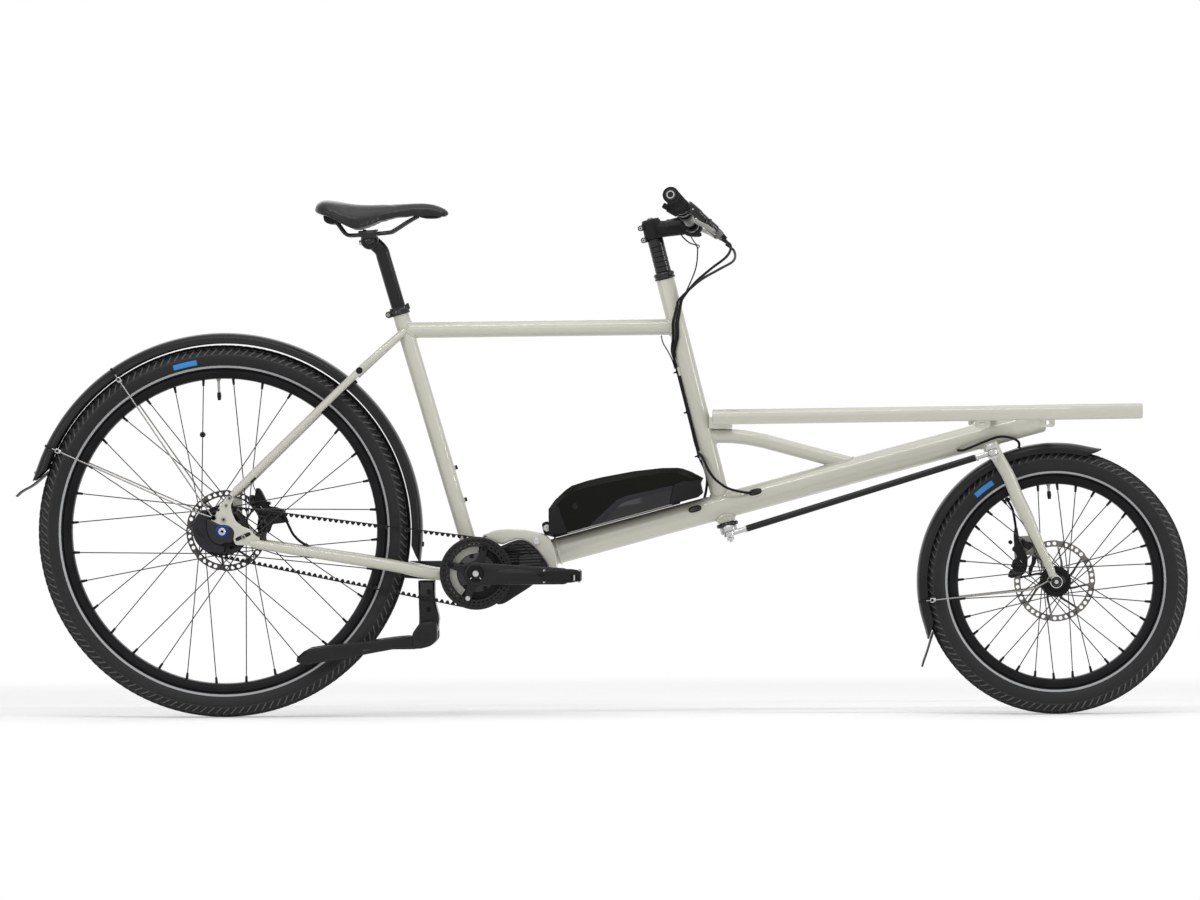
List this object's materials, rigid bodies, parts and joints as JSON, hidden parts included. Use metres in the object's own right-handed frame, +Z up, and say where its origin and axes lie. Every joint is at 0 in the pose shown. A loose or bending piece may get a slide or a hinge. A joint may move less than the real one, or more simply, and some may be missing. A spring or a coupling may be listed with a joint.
{
  "type": "electric cargo bicycle",
  "caption": "Two-wheeled electric cargo bicycle with a small front wheel under an open tube platform, rod steering, belt drive and a battery on the boom",
  "frame": {"origin": "on the floor below the middle of the bike's overall length, in its middle plane", "axes": "+X forward, +Y to the rider's left, +Z up; the chain side faces -Y"},
  "size_m": [2.2994, 0.6722, 1.0252],
  "materials": {
    "greige_paint": "smooth gloss enamel",
    "black_plastic": "fine matt grain",
    "black_metal": "black anodised",
    "gloss_black": "gloss moulded",
    "tyre_rubber": "matt black",
    "grip_rubber": "soft matt",
    "saddle_leather": "fine grained synthetic",
    "steel": "brushed",
    "dark_metal": "dark satin",
    "belt_rubber": "toothed, matt"
  },
  "bodies": {
    "frame": {"seat_tube": "greige_paint", "top_tube": "greige_paint", "column_tube": "greige_paint", "boom": "greige_paint", "brace_tube": "greige_paint", "seat_stays": "greige_paint", "chain_stays": "greige_paint", "motor_cradle": "greige_paint", "cargo_platform": "greige_paint", "motor": "black_plastic", "battery_mount": "black_plastic", "seat_collar": "black_metal", "rear_fender": "black_plastic", "rear_fender_stays": "steel", "rear_axle": "steel", "rear_caliper": "black_metal", "shift_unit": "black_plastic", "belt": "belt_rubber", "kickstand_bracket": "black_metal", "rear_hose": "black_plastic", "bar_hoses": "black_plastic"},
    "rear_wheel": {"rear_hub": "dark_metal", "rear_rim": "black_metal", "rear_tyre": "tyre_rubber", "rear_rotor": "steel"},
    "rear_cog": {"rear_sprocket": "black_metal"},
    "crankset": {"crank_right": "black_metal", "crank_left": "black_metal", "front_sprocket": "black_metal"},
    "right_pedal": {"pedal_right": "black_plastic"},
    "left_pedal": {"pedal_left": "black_plastic"},
    "steering": {"steering_column": "black_metal", "stem": "black_metal", "handlebar": "black_metal", "grip_right": "grip_rubber", "grip_left": "grip_rubber", "brake_body_right": "black_metal", "brake_body_left": "black_metal", "display": "gloss_black"},
    "steering_rod": {"tie_rod": "black_metal"},
    "front_fork": {"fork": "greige_paint", "front_axle": "steel", "front_caliper": "black_metal", "front_fender": "black_plastic", "front_fender_stay": "steel", "fork_hose": "black_plastic"},
    "front_wheel": {"front_hub": "black_metal", "front_rim": "black_metal", "front_tyre": "tyre_rubber", "front_rotor": "steel"},
    "stand": {"kickstand": "black_metal"},
    "right_lever": {"brake_lever_right": "black_metal"},
    "left_lever": {"brake_lever_left": "black_metal"},
    "shifter": {"shift_switch": "black_plastic"},
    "post": {"seat_post": "black_metal"},
    "seat": {"saddle_rails": "steel", "saddle": "saddle_leather"},
    "battery_pack": {"battery": "gloss_black"},
    "button": {"battery_button": "black_plastic"},
    "lock": {"key_lock": "steel"}
  },
  "joints": [
    {"name": "fork_steer", "type": "hinge", "parent": "frame", "child": "front_fork", "pos_m": [0.76263, 0, 0.5245], "axis": [-0.2419, 0, 0.9703], "range_deg": [-50, 50], "deforming": ["fork_hose"]},
    {"name": "handlebar_steer", "type": "hinge", "parent": "frame", "child": "steering", "pos_m": [0.248, 0, 0.367], "axis": [-0.2419, 0, 0.9703], "range_deg": [-50, 50], "deforming": ["bar_hoses"]},
    {"name": "tie_rod_swing", "type": "hinge", "parent": "steering", "child": "steering_rod", "pos_m": [0.25056, -0.085, 0.35672], "axis": [-0.2419, 0, 0.9703], "range_deg": [-50, 50]},
    {"name": "front_wheel_spin", "type": "hinge", "parent": "front_fork", "child": "front_wheel", "pos_m": [0.8897, 0, 0.26], "axis": [0, 1, 0], "continuous": true},
    {"name": "rear_wheel_spin", "type": "hinge", "parent": "frame", "child": "rear_wheel", "pos_m": [-0.7403, 0, 0.365], "axis": [0, 1, 0], "continuous": true},
    {"name": "crank_spin", "type": "hinge", "parent": "frame", "child": "crankset", "pos_m": [-0.245, 0, 0.2814], "axis": [0, 1, 0], "continuous": true},
    {"name": "rear_sprocket_spin", "type": "hinge", "parent": "frame", "child": "rear_cog", "pos_m": [-0.7403, -0.05, 0.365], "axis": [0, 1, 0], "continuous": true},
    {"name": "pedal_right_spin", "type": "hinge", "parent": "crankset", "child": "right_pedal", "pos_m": [-0.0751, -0.14, 0.27547], "axis": [0, 1, 0], "continuous": true},
    {"name": "pedal_left_spin", "type": "hinge", "parent": "crankset", "child": "left_pedal", "pos_m": [-0.4149, 0.14, 0.28733], "axis": [0, 1, 0], "continuous": true},
    {"name": "kickstand_fold", "type": "hinge", "parent": "frame", "child": "stand", "pos_m": [-0.3494, 0, 0.1569], "axis": [0, -1, 0], "range_deg": [0, 80]},
    {"name": "brake_lever_right_pull", "type": "hinge", "parent": "steering", "child": "right_lever", "pos_m": [0.2127, -0.188, 0.9645], "axis": [-0.1751, -0.2466, -0.9532], "range_deg": [0, 8], "stiffness_Nm_per_rad": 1, "springref_deg": -2.86},
    {"name": "brake_lever_left_pull", "type": "hinge", "parent": "steering", "child": "left_lever", "pos_m": [0.2127, 0.188, 0.9645], "axis": [0.1751, -0.2466, 0.9532], "range_deg": [0, 8], "stiffness_Nm_per_rad": 1, "springref_deg": -2.86},
    {"name": "shift_switch_turn", "type": "hinge", "parent": "steering", "child": "shifter", "pos_m": [0.17858, -0.143, 0.962], "axis": [-0.1709, -0.9546, 0.244], "range_deg": [-8, 8], "stiffness_Nm_per_rad": 0.4},
    {"name": "seat_post_slide", "type": "slide", "parent": "frame", "child": "post", "axis": [-0.2815, 0, 0.9596], "range_m": [-0.1, 0.06]},
    {"name": "saddle_tilt", "type": "hinge", "parent": "post", "child": "seat", "pos_m": [-0.4487, 0, 0.9308], "axis": [0, 1, 0], "range_deg": [-10, 10]},
    {"name": "battery_slide", "type": "slide", "parent": "frame", "child": "battery_pack", "axis": [-0.2588, 0, 0.9659], "range_m": [0, 0.07]},
    {"name": "battery_button_press", "type": "slide", "parent": "battery_pack", "child": "button", "axis": [0, 1, 0], "range_m": [0, 0.001], "stiffness_N_per_m": 200},
    {"name": "key_lock_turn", "type": "hinge", "parent": "frame", "child": "lock", "pos_m": [-0.10752, -0.02, 0.36862], "axis": [0, -1, 0], "range_deg": [0, 90]}
  ],
  "couplings": [
    {"joint": "handlebar_steer", "follows": "fork_steer", "ratio": 1},
    {"joint": "tie_rod_swing", "follows": "fork_steer", "ratio": -1},
    {"joint": "rear_sprocket_spin", "follows": "crank_spin", "ratio": 1.3929}
  ]
}
